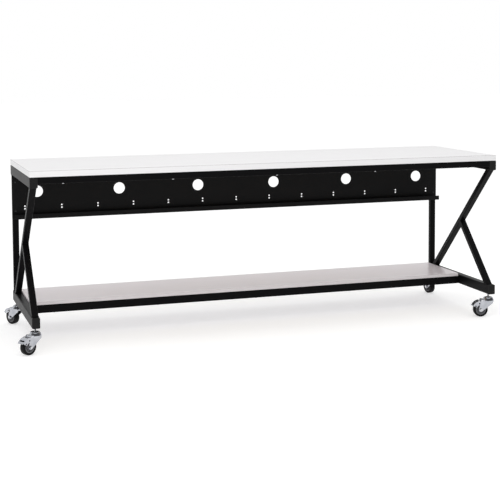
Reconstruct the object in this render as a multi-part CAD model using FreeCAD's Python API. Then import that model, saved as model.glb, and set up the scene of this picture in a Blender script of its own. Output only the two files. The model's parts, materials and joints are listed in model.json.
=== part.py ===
import FreeCAD, Part
import math
import os

# Assembly table: a laminate worktop on two welded K-shaped side frames that are joined by
# bolted rails, a punched back panel with a cable tray, a half-depth shelf and four
# swivel casters with brakes.
# Millimetres. The origin is on the floor under the middle of the frame, +X is to the
# right of someone who stands at the front, +Y points to the back and +Z is up.

# ---- Overall size -----------------------------------------------------------------
TABLE_WIDTH = 2438.4
TABLE_DEPTH = 711.2
FRAME_HEIGHT = 711.2

# ---- Worktop ----------------------------------------------------------------------
WORKTOP_THICKNESS = 28.6
LAMINATE_THICKNESS = 1.0
WORKTOP_BAND = 2.0
WORKTOP_EDGE_ROUND = 1.0

# ---- Light tube of the posts, the braces and the rails between the side frames -----
TUBE_WIDTH = 31.75
TUBE_DEPTH = 25.4
TUBE_WALL = 1.6
TUBE_CORNER = 3.0

# ---- Side frames ------------------------------------------------------------------
SIDE_RAIL_WIDTH = 38.1
SIDE_RAIL_HEIGHT = 50.8
SIDE_RAIL_WALL = 2.0
SIDE_RAIL_CORNER = 5.0
# Distances of the brace centrelines from the front of the frame.
LONG_BRACE_HEAD_SETBACK = 32.0
LONG_BRACE_FOOT_CLEARANCE = 20.0
SHORT_BRACE_FOOT_SETBACK = 42.0
CAP_THICKNESS = 3.0
CAP_PLUG_DEPTH = 18.0
CAP_CLEARANCE = 0.2
CAP_EDGE = 0.8

# ---- Rails between the side frames ------------------------------------------------
TOP_RAIL_HEIGHT = 31.75
SHELF_RAIL_HEIGHT = 41.3

# ---- Shelf ------------------------------------------------------------------------
SHELF_DEPTH = 368.3
SHELF_REAR_INSET = 5.9
SHELF_THICKNESS = 15.9
SHELF_BAND = 1.0
SHELF_SIDE_GAP = 0.5

# ---- Back panel and cable tray ----------------------------------------------------
# The drops are measured down from the top of the frame.
SHEET = 1.2
SHEET_BEND = 1.0
PANEL_DROP = 280.2
TRAY_DEPTH = 40.0
TRAY_LIP_HEIGHT = 24.0
PANEL_SIDE_GAP = 1.0
PANEL_TOP_GAP = 1.0
CABLE_HOLE_COUNT = 6
CABLE_HOLE_RADIUS = 30.0
CABLE_HOLE_DROP = 141.2
CABLE_HOLE_END_MARGIN = 131.7
PAIR_COUNT = 13
PAIR_HOLE_RADIUS = 4.0
PAIR_HOLE_SPACING = 14.0
PAIR_DROP = 223.4
PAIR_END_MARGIN = 67.2

# ---- Brackets and fasteners -------------------------------------------------------
BRACKET_LEG = 46.0
BRACKET_HEIGHT = 24.0
BRACKET_THICKNESS = 3.0
BRACKET_HOLE_NEAR = 17.0
BRACKET_HOLE_FAR = 36.0
SCREW_CLEARANCE = 0.1
THREAD_GAP = 0.04
BOLT_RADIUS = 3.0
BOLT_GRIP = 12.0
BOLT_HEAD_FLATS = 10.0
BOLT_HEAD_HEIGHT = 4.0
BOLT_FLANGE_RADIUS = 6.5
BOLT_FLANGE_HEIGHT = 1.2
WOOD_SCREW_RADIUS = 2.4
WOOD_SCREW_BITE = 12.0
PAN_HEAD_RADIUS = 5.0
PAN_HEAD_HEIGHT = 3.0
PAN_HEAD_ROUND = 1.4
PANEL_SCREW_GRIP = 10.0
RAIL_SCREW_COUNT = 5
RAIL_SCREW_MARGIN = 120.0
POST_SCREW_INSET = 40.0

# ---- Casters ----------------------------------------------------------------------
STEM_INSET = 38.1
STEM_RADIUS = 5.0
STEM_EXPOSED = 20.0
STEM_THREAD_REACH = 18.0
STEM_CHAMFER = 0.8
STEM_HOLE_CLEARANCE = 0.3
NUT_FLATS = 17.0
NUT_HEIGHT = 8.0
KINGPIN_HEAD_RADIUS = 8.5
KINGPIN_HEAD_HEIGHT = 4.0
SEAT_RADIUS = 15.5
SEAT_THICKNESS = 3.0
RUNNING_CLEARANCE = 0.06
MOVING_GAP = 0.3

WHEEL_RADIUS = 38.1
WHEEL_WIDTH = 30.0
TYRE_THICKNESS = 11.1
TYRE_SHOULDER = 5.0
BOND_GAP = 0.04
HUB_RIM_INSET = 1.5
HUB_RIM_THICKNESS = 4.0
HUB_WEB_THICKNESS = 8.0
HUB_BOSS_RADIUS = 11.0
TRAIL = 42.0

FORK_PLATE = 2.5
FORK_SIDE_GAP = 2.0
CROWN_TYRE_GAP = 2.8
DOME_RADIUS = 30.0
DOME_TOP_RADIUS = 22.5
DOME_WALL_HEIGHT = 8.0
DOME_LIP = 4.25
DOME_MOUTH_GAP = 1.5
RACE_INNER_RADIUS = 9.0
RACE_OUTER_RADIUS = 16.4
RACE_HEIGHT = 9.5
RACE_RIM = 1.2
RACE_RIM_HEIGHT = 4.0
BALL_RADIUS = 2.7
BALL_COUNT = 12
BALL_GAP = 0.05
AXLE_EYE_RADIUS = 11.0
LEG_HEEL_SETBACK = 16.0
LEG_HEEL_DROP = 3.0
LEG_HEEL_RADIUS = 6.0

AXLE_RADIUS = 4.0
AXLE_HEAD_FLATS = 13.0
AXLE_HEAD_HEIGHT = 5.0
AXLE_NUT_HEIGHT = 6.5

PEDAL_PIN_RISE = 8.0
PEDAL_PIN_RADIUS = 2.5
PEDAL_PIN_HEAD_RADIUS = 4.0
PEDAL_PIN_HEAD_HEIGHT = 1.4
PEDAL_EAR_RADIUS = 6.5
PEDAL_HUB_RADIUS = 4.8
PEDAL_DOME_GAP = 1.2
PEDAL_TYRE_GAP = 8.0
PEDAL_LEG_GAP = 1.5
PEDAL_SHEET = 2.2
PEDAL_STRAP_START = 28.0
PEDAL_HOOD_END = 84.0
PEDAL_CHEEK_GAP = 1.3
PEDAL_FOOT_LENGTH = 9.0
PEDAL_FOOT_WIDTH = 36.0
PEDAL_FOOT_TILT = 8.0
PEDAL_FOOT_CORNER = 4.0
PEDAL_SLOT_WIDTH = 8.0
# The slots' places on the strap, in degrees, and their lengths across it.
PEDAL_SLOTS = ((44.0, 32.0), (75.0, 34.0))
# The hood's cheeks hang outside the fork's legs, down to this distance from the axle.
PEDAL_CHEEK_INNER_RADIUS = 27.0
PEDAL_CHEEK_HOLE_RADIUS = 3.8
# The holes' places on a cheek: their angle, and their distance from the axle.
PEDAL_CHEEK_HOLES = ((36.0, 35.0), (76.0, 35.0))

# Where the wheel of each caster trails to, in degrees from +X about the stem.
CASTER_HEADINGS = {
    "front_left": 210.0,
    "front_right": 165.0,
    "rear_left": 122.0,
    "rear_right": 100.0,
}

# ---- Places worked out from the sizes above ---------------------------------------
X_AXIS = FreeCAD.Vector(1, 0, 0)
Y_AXIS = FreeCAD.Vector(0, 1, 0)
Z_AXIS = FreeCAD.Vector(0, 0, 1)

# Edges and points nearer to each other than this are the same one.
SAME_PLACE = 0.01

# The casters stack up from the floor: wheel, crown, ball race, stem seat, dome and stem.
crown_bottom = 2 * WHEEL_RADIUS + CROWN_TYRE_GAP
crown_top = crown_bottom + FORK_PLATE
race_top = crown_top + RACE_HEIGHT
ball_centre_z = race_top + BALL_GAP + BALL_RADIUS
seat_bottom = ball_centre_z + BALL_RADIUS + MOVING_GAP
dome_top = seat_bottom + SEAT_THICKNESS + DOME_LIP
caster_height = dome_top + STEM_EXPOSED

half_width = TABLE_WIDTH / 2
front = -TABLE_DEPTH / 2
rear = TABLE_DEPTH / 2
frame_bottom = caster_height
frame_top = frame_bottom + FRAME_HEIGHT
lower_rail_top = frame_bottom + SIDE_RAIL_HEIGHT
upper_rail_bottom = frame_top - SIDE_RAIL_HEIGHT
inner_x = half_width - SIDE_RAIL_WIDTH
rail_centre_x = half_width - SIDE_RAIL_WIDTH / 2
post_front = rear - TUBE_DEPTH
panel_front = post_front - SHEET
tray_floor = frame_top - PANEL_DROP
shelf_rear = rear - SHELF_REAR_INSET
shelf_front = shelf_rear - SHELF_DEPTH
shelf_underside = frame_bottom + SHELF_RAIL_HEIGHT
sides = {"left": -1, "right": 1}


# ---- Shared shapes ----------------------------------------------------------------
def vector(x, y, z):
    return FreeCAD.Vector(x, y, z)


def block(x_span, y_span, z_span):
    """A box between two values on each axis."""
    size = [high - low for low, high in (x_span, y_span, z_span)]
    return Part.makeBox(*size, vector(x_span[0], y_span[0], z_span[0]))


def polygon_face(points):
    """A flat face between straight edges."""
    return Part.Face(Part.makePolygon(points + points[:1]))


def edges_at(shape, is_wanted):
    """The edges whose middle passes the test."""
    return [edge for edge in shape.Edges if is_wanted(edge.CenterOfMass)]


def rounded_face(centre, across, up, width, height, radius):
    """A flat rectangle with rounded corners, in the plane of two unit vectors."""
    diagonal = radius * (1 - math.sqrt(0.5))
    half_w = width / 2
    half_h = height / 2

    def point(a, b):
        return centre + across * a + up * b

    edges = []
    corners = [(1, -1), (1, 1), (-1, 1), (-1, -1)]
    for index, (sx, sy) in enumerate(corners):
        side_end = (sx * half_w, sy * (half_h - radius))
        flat_end = (sx * (half_w - radius), sy * half_h)
        middle = (sx * (half_w - diagonal), sy * (half_h - diagonal))
        first, last = (flat_end, side_end) if sx * sy < 0 else (side_end, flat_end)
        edges.append(Part.Arc(point(*first), point(*middle), point(*last)).toShape())
        nx, ny = corners[(index + 1) % len(corners)]
        if nx == sx:
            following = (nx * half_w, ny * (half_h - radius))
        else:
            following = (nx * (half_w - radius), ny * half_h)
        edges.append(Part.LineSegment(point(*last), point(*following)).toShape())
    return Part.Face(Part.Wire(edges))


def tube(start, run, across, up, width, height, wall, corner):
    """A straight rectangular tube from start along run."""
    outer = rounded_face(start, across, up, width, height, corner)
    inner_size = (width - 2 * wall, height - 2 * wall)
    inner = rounded_face(start, across, up, *inner_size, corner - wall)
    return outer.extrude(run).cut(inner.extrude(run))


def hexagon(base, axis, across, flats, height):
    """A hexagonal prism that stands on base and rises along axis."""
    up = axis.cross(across)
    radius = flats / math.sqrt(3)
    points = []
    for step in range(6):
        angle = math.radians(60 * step)
        points.append(base + across * (radius * math.cos(angle)) + up * (radius * math.sin(angle)))
    return polygon_face(points).extrude(axis * height)


def belt_plate(circles, start_y, thickness):
    """A plate bounded by a belt round circles (x, z, radius), given counter-clockwise."""
    count = len(circles)
    tangents = []
    for index in range(count):
        x1, z1, r1 = circles[index]
        x2, z2, r2 = circles[(index + 1) % count]
        length = math.hypot(x2 - x1, z2 - z1)
        ux, uz = (x2 - x1) / length, (z2 - z1) / length
        along = (r1 - r2) / length
        out = math.sqrt(1 - along * along)
        nx, nz = ux * along + uz * out, uz * along - ux * out
        tangents.append(((x1 + nx * r1, z1 + nz * r1), (x2 + nx * r2, z2 + nz * r2)))
    edges = []
    for index in range(count):
        leave, arrive = tangents[index]
        next_leave = tangents[(index + 1) % count][0]
        cx, cz, radius = circles[(index + 1) % count]
        start_angle = math.atan2(arrive[1] - cz, arrive[0] - cx)
        end_angle = math.atan2(next_leave[1] - cz, next_leave[0] - cx)
        turn = (end_angle - start_angle) % (2 * math.pi)
        middle_angle = start_angle + turn / 2
        middle = (cx + radius * math.cos(middle_angle), cz + radius * math.sin(middle_angle))
        line_ends = [vector(x, start_y, z) for x, z in (leave, arrive)]
        arc_points = [vector(x, start_y, z) for x, z in (arrive, middle, next_leave)]
        edges.append(Part.LineSegment(*line_ends).toShape())
        edges.append(Part.Arc(*arc_points).toShape())
    return Part.Face(Part.Wire(edges)).extrude(Y_AXIS * thickness)


def drilled(shape, fasteners, radius):
    """The shape with a clearance hole for each fastener that reaches it."""
    for point, direction, length in fasteners:
        hole_radius = radius + SCREW_CLEARANCE
        hole = Part.makeCylinder(hole_radius, length + SCREW_CLEARANCE, point, direction)
        if shape.BoundBox.intersect(hole.BoundBox):
            shape = shape.cut(hole)
    return shape


def spread(count, half_span):
    """Evenly spaced places from -half_span to +half_span."""
    return [-half_span + 2 * half_span * step / (count - 1) for step in range(count)]


def save(name, *solids):
    """Writes one node, which may hold several separate solids."""
    shape = solids[0] if len(solids) == 1 else Part.makeCompound(list(solids))
    shape.exportStep("parts/" + name + ".step")


# ---- Fasteners --------------------------------------------------------------------
def flange_bolt(point, direction, length):
    """A hex flange bolt whose head sits on the face at point."""
    shank = Part.makeCylinder(BOLT_RADIUS, length, point, direction)
    flange = Part.makeCylinder(BOLT_FLANGE_RADIUS, BOLT_FLANGE_HEIGHT, point, -direction)
    head_base = point - direction * BOLT_FLANGE_HEIGHT
    head = hexagon(head_base, -direction, Z_AXIS, BOLT_HEAD_FLATS, BOLT_HEAD_HEIGHT)
    return shank.fuse([flange, head]).removeSplitter()


def pan_screw(point, direction, length):
    """A round-headed screw whose head sits on the face at point."""
    shank = Part.makeCylinder(WOOD_SCREW_RADIUS, length, point, direction)
    head = Part.makeCylinder(PAN_HEAD_RADIUS, PAN_HEAD_HEIGHT, point, -direction)
    crown = point - direction * PAN_HEAD_HEIGHT
    rim = edges_at(head, lambda middle: middle.isEqual(crown, SAME_PLACE))
    return shank.fuse(head.makeFillet(PAN_HEAD_ROUND, rim)).removeSplitter()


def rail_screws(rail_y, rail_bottom, rail_height):
    """Screws up through a rail and into the board that lies on it."""
    places = spread(RAIL_SCREW_COUNT, inner_x - RAIL_SCREW_MARGIN)
    length = rail_height + WOOD_SCREW_BITE
    return [(vector(x, rail_y, rail_bottom), Z_AXIS, length) for x in places]


def bracket_bolts(side, face_y, facing, centre_z):
    """The four bolts of one corner bracket: two into the side rail, two into the long rail."""
    fasteners = []
    for reach in (BRACKET_HOLE_NEAR, BRACKET_HOLE_FAR):
        leg_x = side * (inner_x - BRACKET_THICKNESS)
        into_side = vector(leg_x, face_y + facing * reach, centre_z)
        fasteners.append((into_side, X_AXIS * side, BOLT_GRIP))
        leg_y = face_y + facing * BRACKET_THICKNESS
        into_rail = vector(side * (inner_x - reach), leg_y, centre_z)
        fasteners.append((into_rail, Y_AXIS * -facing, BOLT_GRIP))
    return fasteners


# Each bracket row: the face that it lies on, the way that face looks, and its height.
top_bracket_z = frame_top - TOP_RAIL_HEIGHT / 2
shelf_bracket_z = frame_bottom + SHELF_RAIL_HEIGHT / 2
top_bracket_rows = [
    (front + TUBE_DEPTH, 1, top_bracket_z),
    (panel_front, -1, top_bracket_z),
]
shelf_bracket_rows = [
    (shelf_front + TUBE_DEPTH, 1, shelf_bracket_z),
    (shelf_rear - TUBE_DEPTH, -1, shelf_bracket_z),
]
frame_bolts = []
for row in top_bracket_rows + shelf_bracket_rows:
    for side in sides.values():
        frame_bolts += bracket_bolts(side, *row)

rail_half_depth = TUBE_DEPTH / 2
top_rail_lines = [front + rail_half_depth, rear - rail_half_depth]
shelf_rail_lines = [shelf_front + rail_half_depth, shelf_rear - rail_half_depth]
worktop_fixings = []
for line in top_rail_lines:
    worktop_fixings += rail_screws(line, frame_top - TOP_RAIL_HEIGHT, TOP_RAIL_HEIGHT)
shelf_fixings = []
for line in shelf_rail_lines:
    shelf_fixings += rail_screws(line, frame_bottom, SHELF_RAIL_HEIGHT)

panel_fixings = []
for x in spread(RAIL_SCREW_COUNT, inner_x - RAIL_SCREW_MARGIN):
    panel_fixings.append((vector(x, panel_front, top_bracket_z), Y_AXIS, PANEL_SCREW_GRIP))
post_screw_heights = [
    tray_floor + POST_SCREW_INSET,
    upper_rail_bottom - POST_SCREW_INSET,
]
for side in sides.values():
    for height in post_screw_heights:
        point = vector(side * rail_centre_x, panel_front, height)
        panel_fixings.append((point, Y_AXIS, PANEL_SCREW_GRIP))


# ---- Worktop ----------------------------------------------------------------------
def make_worktop():
    band_x = half_width - WORKTOP_BAND
    band_y = rear - WORKTOP_BAND
    worktop_top = frame_top + WORKTOP_THICKNESS
    core_top = worktop_top - LAMINATE_THICKNESS
    core = block((-band_x, band_x), (-band_y, band_y), (frame_top, core_top))
    save("worktop_core", drilled(core, worktop_fixings, WOOD_SCREW_RADIUS))
    sheet = block((-band_x, band_x), (-band_y, band_y), (core_top, worktop_top))
    save("worktop_laminate", sheet)
    # The bands are cut from one rounded slab, so that they meet at the corners.
    height = (frame_top, worktop_top)
    slab = block((-half_width, half_width), (front, rear), height)
    slab = slab.makeFillet(WORKTOP_EDGE_ROUND, slab.Edges)
    spans = [
        ((-half_width, half_width), (front, -band_y)),
        ((-half_width, half_width), (band_y, rear)),
        ((-half_width, -band_x), (-band_y, band_y)),
        ((band_x, half_width), (-band_y, band_y)),
    ]
    strips = [slab.common(block(x_span, y_span, height)) for x_span, y_span in spans]
    save("worktop_edge_band", *strips)


# ---- Side frames ------------------------------------------------------------------
def side_rail(side, centre_z):
    start = vector(side * rail_centre_x, front + CAP_THICKNESS, centre_z)
    run = Y_AXIS * (TABLE_DEPTH - 2 * CAP_THICKNESS)
    size = (SIDE_RAIL_WIDTH, SIDE_RAIL_HEIGHT, SIDE_RAIL_WALL, SIDE_RAIL_CORNER)
    rail = tube(start, run, X_AXIS, Z_AXIS, *size)
    return drilled(rail, frame_bolts, BOLT_RADIUS)


def end_cap(side, end_y, inward, centre_z):
    """A plastic cap on a side rail's open end, with a plug that goes into the tube."""
    outside = vector(side * rail_centre_x, end_y, centre_z)
    plate_face = rounded_face(
        outside, X_AXIS, Z_AXIS, SIDE_RAIL_WIDTH, SIDE_RAIL_HEIGHT, SIDE_RAIL_CORNER
    )
    plate = plate_face.extrude(Y_AXIS * (inward * CAP_THICKNESS))
    rim = edges_at(plate, lambda middle: abs(middle.y - end_y) < SAME_PLACE)
    plate = plate.makeFillet(CAP_EDGE, rim)
    shrink = 2 * (SIDE_RAIL_WALL + CAP_CLEARANCE)
    plug_face = rounded_face(
        outside + Y_AXIS * (inward * CAP_THICKNESS),
        X_AXIS,
        Z_AXIS,
        SIDE_RAIL_WIDTH - shrink,
        SIDE_RAIL_HEIGHT - shrink,
        SIDE_RAIL_CORNER - SIDE_RAIL_WALL,
    )
    return plate.fuse(plug_face.extrude(Y_AXIS * (inward * CAP_PLUG_DEPTH)))


def rear_post(side):
    start = vector(side * rail_centre_x, rear - TUBE_DEPTH / 2, lower_rail_top)
    run = Z_AXIS * (upper_rail_bottom - lower_rail_top)
    post = tube(start, run, X_AXIS, Y_AXIS, TUBE_WIDTH, TUBE_DEPTH, TUBE_WALL, TUBE_CORNER)
    return drilled(post, panel_fixings, WOOD_SCREW_RADIUS)


def brace_tube(side, foot, head):
    """A brace between two (y, z) points, longer than needed at both ends."""
    direction = vector(0, head[0] - foot[0], head[1] - foot[1])
    direction.normalize()
    start = vector(side * rail_centre_x, *foot) - direction * SIDE_RAIL_HEIGHT
    end = vector(side * rail_centre_x, *head) + direction * SIDE_RAIL_HEIGHT
    up = direction.cross(X_AXIS)
    return tube(start, end - start, X_AXIS, up, TUBE_WIDTH, TUBE_DEPTH, TUBE_WALL, TUBE_CORNER)


def side_braces(side):
    """The long brace from the front of the top rail to the rear of the bottom rail, and the
    short brace that runs from the front of the bottom rail to the long one."""
    head_y = front + LONG_BRACE_HEAD_SETBACK
    rise = upper_rail_bottom - lower_rail_top
    foot_edge = post_front - LONG_BRACE_FOOT_CLEARANCE
    # The tube's rear edge at the foot is half its slanted section behind the centreline.
    foot_y = foot_edge - TUBE_DEPTH / 2 * math.hypot(rise, foot_edge - head_y) / rise
    head = (head_y, upper_rail_bottom)
    foot = (foot_y, lower_rail_top)
    between_rails = block(
        sorted((side * inner_x, side * half_width)),
        (front, rear),
        (lower_rail_top, upper_rail_bottom),
    )
    long_brace = brace_tube(side, foot, head).common(between_rails)
    # The two centrelines meet halfway up the frame.
    meeting = ((head_y + foot_y) / 2, (lower_rail_top + upper_rail_bottom) / 2)
    short_foot = (front + SHORT_BRACE_FOOT_SETBACK, lower_rail_top)
    short_brace = brace_tube(side, short_foot, meeting).common(between_rails)
    # The short brace ends at the long brace's lower face.
    direction = vector(0, head_y - foot_y, rise).normalize()
    outward = direction.cross(X_AXIS)
    to_face = vector(side * rail_centre_x - SIDE_RAIL_WIDTH / 2, 0, 0) - outward * (TUBE_DEPTH / 2)
    low = vector(0, *foot) + to_face - direction * SIDE_RAIL_HEIGHT
    high = vector(0, *head) + to_face + direction * SIDE_RAIL_HEIGHT
    away = outward * FRAME_HEIGHT
    beyond = polygon_face([low, high, high + away, low + away]).extrude(X_AXIS * SIDE_RAIL_WIDTH)
    return long_brace, short_brace.cut(beyond)


def make_side_frames():
    caps = []
    for name, side in sides.items():
        upper_z = frame_top - SIDE_RAIL_HEIGHT / 2
        lower_z = frame_bottom + SIDE_RAIL_HEIGHT / 2
        save(name + "_top_rail", side_rail(side, upper_z))
        bottom_rail = side_rail(side, lower_z)
        for stem_y in (front + STEM_INSET, rear - STEM_INSET):
            hole_base = vector(side * rail_centre_x, stem_y, frame_bottom)
            hole_radius = STEM_RADIUS + STEM_HOLE_CLEARANCE
            hole = Part.makeCylinder(hole_radius, SIDE_RAIL_WALL, hole_base, Z_AXIS)
            bottom_rail = bottom_rail.cut(hole)
        save(name + "_bottom_rail", bottom_rail)
        save(name + "_rear_post", rear_post(side))
        long_brace, short_brace = side_braces(side)
        save(name + "_long_brace", long_brace)
        save(name + "_short_brace", short_brace)
        for height in (upper_z, lower_z):
            caps.append(end_cap(side, front, 1, height))
            caps.append(end_cap(side, rear, -1, height))
    save("rail_end_caps", *caps)


# ---- Rails between the side frames ------------------------------------------------
def long_rail(centre_y, bottom, height, screws):
    start = vector(-inner_x, centre_y, bottom + height / 2)
    run = X_AXIS * (2 * inner_x)
    size = (TUBE_DEPTH, height, TUBE_WALL, TUBE_CORNER)
    rail = tube(start, run, Y_AXIS, Z_AXIS, *size)
    rail = drilled(rail, frame_bolts, BOLT_RADIUS)
    return drilled(rail, screws, WOOD_SCREW_RADIUS)


def corner_bracket(side, face_y, facing, centre_z):
    """An angle that joins the end of a long rail to the inner face of a side rail."""
    half_height = BRACKET_HEIGHT / 2
    z_span = (centre_z - half_height, centre_z + half_height)
    corner_x = side * inner_x
    tip_x = side * (inner_x - BRACKET_LEG)
    inner_leg_x = side * (inner_x - BRACKET_THICKNESS)
    leg_y = sorted((face_y, face_y + facing * BRACKET_LEG))
    base_y = sorted((face_y, face_y + facing * BRACKET_THICKNESS))
    side_leg = block(sorted((corner_x, inner_leg_x)), leg_y, z_span)
    rail_leg = block(sorted((corner_x, tip_x)), base_y, z_span)
    angle = side_leg.fuse(rail_leg).removeSplitter()
    return drilled(angle, frame_bolts, BOLT_RADIUS)


def make_long_rails():
    top_bottom = frame_top - TOP_RAIL_HEIGHT
    top_screws = worktop_fixings + panel_fixings
    front_line, rear_line = top_rail_lines
    save("front_top_rail", long_rail(front_line, top_bottom, TOP_RAIL_HEIGHT, worktop_fixings))
    save("rear_top_rail", long_rail(rear_line, top_bottom, TOP_RAIL_HEIGHT, top_screws))
    shelf_names = ("shelf_front_rail", "shelf_rear_rail")
    for name, line in zip(shelf_names, shelf_rail_lines):
        save(name, long_rail(line, frame_bottom, SHELF_RAIL_HEIGHT, shelf_fixings))
    groups = {"top_rail_brackets": top_bracket_rows, "shelf_rail_brackets": shelf_bracket_rows}
    for name, rows in groups.items():
        save(name, *[corner_bracket(side, *row) for row in rows for side in sides.values()])


# ---- Back panel with its cable tray -----------------------------------------------
def make_back_panel():
    top_z = frame_top - PANEL_TOP_GAP
    lip_front = panel_front - TRAY_DEPTH
    lip_back = lip_front + SHEET
    lip_top = tray_floor + TRAY_LIP_HEIGHT
    floor_top = tray_floor + SHEET
    outline = [
        (post_front, tray_floor),
        (post_front, top_z),
        (panel_front, top_z),
        (panel_front, floor_top),
        (lip_back, floor_top),
        (lip_back, lip_top),
        (lip_front, lip_top),
        (lip_front, tray_floor),
    ]
    panel_half = half_width - PANEL_SIDE_GAP
    points = [vector(-panel_half, y, z) for y, z in outline]
    panel = polygon_face(points).extrude(X_AXIS * (2 * panel_half))
    outer_bends = [(post_front, tray_floor), (lip_front, tray_floor)]
    inner_bends = [(panel_front, floor_top), (lip_back, floor_top)]
    for bends, radius in ((outer_bends, SHEET_BEND + SHEET), (inner_bends, SHEET_BEND)):
        for y, z in bends:
            line = vector(0, y, z)
            edge = edges_at(panel, lambda middle: middle.isEqual(line, SAME_PLACE))
            panel = panel.makeFillet(radius, edge)
    # The upper corners are notched round the side rails.
    notch_x = inner_x - PANEL_SIDE_GAP
    notch_z = (upper_rail_bottom - PANEL_TOP_GAP, frame_top)
    for side in sides.values():
        notch_span = sorted((side * notch_x, side * half_width))
        panel = panel.cut(block(notch_span, (panel_front - SHEET, rear), notch_z))
    drill_y = panel_front - SHEET
    drill_length = 3 * SHEET
    for x in spread(CABLE_HOLE_COUNT, half_width - CABLE_HOLE_END_MARGIN):
        base = vector(x, drill_y, frame_top - CABLE_HOLE_DROP)
        panel = panel.cut(Part.makeCylinder(CABLE_HOLE_RADIUS, drill_length, base, Y_AXIS))
    for x in spread(PAIR_COUNT, half_width - PAIR_END_MARGIN):
        for offset in spread(2, PAIR_HOLE_SPACING / 2):
            base = vector(x, drill_y, frame_top - PAIR_DROP + offset)
            panel = panel.cut(Part.makeCylinder(PAIR_HOLE_RADIUS, drill_length, base, Y_AXIS))
    panel = drilled(panel, panel_fixings, WOOD_SCREW_RADIUS)
    save("back_panel", drilled(panel, frame_bolts, BOLT_RADIUS))


# ---- Shelf ------------------------------------------------------------------------
def make_shelf():
    shelf_half = inner_x - SHELF_SIDE_GAP
    x_span = (-shelf_half, shelf_half)
    z_span = (shelf_underside, shelf_underside + SHELF_THICKNESS)
    board_y = (shelf_front + SHELF_BAND, shelf_rear - SHELF_BAND)
    board = block(x_span, board_y, z_span)
    save("shelf_board", drilled(board, shelf_fixings, WOOD_SCREW_RADIUS))
    front_strip = block(x_span, (shelf_front, board_y[0]), z_span)
    rear_strip = block(x_span, (board_y[1], shelf_rear), z_span)
    save("shelf_edge_band", front_strip, rear_strip)


# ---- Fastener groups --------------------------------------------------------------
def make_fasteners():
    save("bracket_bolts", *[flange_bolt(*fastener) for fastener in frame_bolts])
    save("worktop_screws", *[pan_screw(*fastener) for fastener in worktop_fixings])
    save("shelf_screws", *[pan_screw(*fastener) for fastener in shelf_fixings])
    save("panel_screws", *[pan_screw(*fastener) for fastener in panel_fixings])


# ---- Casters ----------------------------------------------------------------------
# A caster is drawn with its stem on the Z axis and its wheel trailing towards +X.
wheel_centre = vector(TRAIL, 0, WHEEL_RADIUS)
tyre_inner_radius = WHEEL_RADIUS - TYRE_THICKNESS
leg_inner_y = WHEEL_WIDTH / 2 + FORK_SIDE_GAP
leg_outer_y = leg_inner_y + FORK_PLATE
pedal_pin_x = DOME_RADIUS + PEDAL_DOME_GAP + PEDAL_HUB_RADIUS
pedal_pin_centre = vector(pedal_pin_x, 0, crown_bottom + PEDAL_PIN_RISE)
strap_radius = WHEEL_RADIUS + PEDAL_TYRE_GAP
pitch_radius = (RACE_INNER_RADIUS + RACE_OUTER_RADIUS - RACE_RIM) / 2


def cross_cylinder(centre, radius, half_length):
    """A cylinder along Y that is centred on a point."""
    base = centre - Y_AXIS * half_length
    return Part.makeCylinder(radius, 2 * half_length, base, Y_AXIS)


def ring(outer_radius, inner_radius, low, high):
    """A flat ring round the stem."""
    outer = Part.makeCylinder(outer_radius, high - low, Z_AXIS * low, Z_AXIS)
    return outer.cut(Part.makeCylinder(inner_radius, high - low, Z_AXIS * low, Z_AXIS))


def caster_stem():
    """The threaded stem, its seat over the balls and the riveted kingpin head below."""
    head_top = crown_bottom - MOVING_GAP
    head_bottom = head_top - KINGPIN_HEAD_HEIGHT
    stem_top = caster_height + STEM_THREAD_REACH
    rod = Part.makeCylinder(STEM_RADIUS, stem_top - head_bottom, Z_AXIS * head_bottom, Z_AXIS)
    tip = edges_at(rod, lambda middle: abs(middle.z - stem_top) < SAME_PLACE)
    rod = rod.makeChamfer(STEM_CHAMFER, tip)
    head_base = Z_AXIS * head_bottom
    head = Part.makeCylinder(KINGPIN_HEAD_RADIUS, KINGPIN_HEAD_HEIGHT, head_base, Z_AXIS)
    seat = Part.makeCylinder(SEAT_RADIUS, SEAT_THICKNESS, Z_AXIS * seat_bottom, Z_AXIS)
    return rod.fuse([head, seat]).removeSplitter()


def dome_shell():
    """The turned housing over the ball race, open at its mouth."""
    wall_top = crown_bottom + DOME_WALL_HEIGHT
    mouth_radius = SEAT_RADIUS + DOME_MOUTH_GAP
    lean = (DOME_RADIUS - DOME_TOP_RADIUS) / 3
    middle_z = (wall_top + dome_top) / 2

    def at(radius, z):
        return vector(radius, 0, z)

    thin = FORK_PLATE
    outer_arc = (
        at(DOME_RADIUS, wall_top),
        at(DOME_RADIUS - lean, middle_z),
        at(DOME_TOP_RADIUS, dome_top),
    )
    inner_arc = (
        at(DOME_TOP_RADIUS - thin, dome_top - thin),
        at(DOME_RADIUS - lean - thin, middle_z - thin / 2),
        at(DOME_RADIUS - thin, wall_top),
    )
    edges = [
        Part.LineSegment(at(DOME_RADIUS, crown_bottom), outer_arc[0]),
        Part.Arc(*outer_arc),
        Part.LineSegment(outer_arc[2], at(mouth_radius, dome_top)),
        Part.LineSegment(at(mouth_radius, dome_top), at(mouth_radius, dome_top - thin)),
        Part.LineSegment(at(mouth_radius, dome_top - thin), inner_arc[0]),
        Part.Arc(*inner_arc),
        Part.LineSegment(inner_arc[2], at(DOME_RADIUS - thin, crown_bottom)),
        Part.LineSegment(at(DOME_RADIUS - thin, crown_bottom), at(DOME_RADIUS, crown_bottom)),
    ]
    wire = Part.Wire([edge.toShape() for edge in edges])
    return Part.Face(wire).revolve(FreeCAD.Vector(), Z_AXIS, 360)


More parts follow.
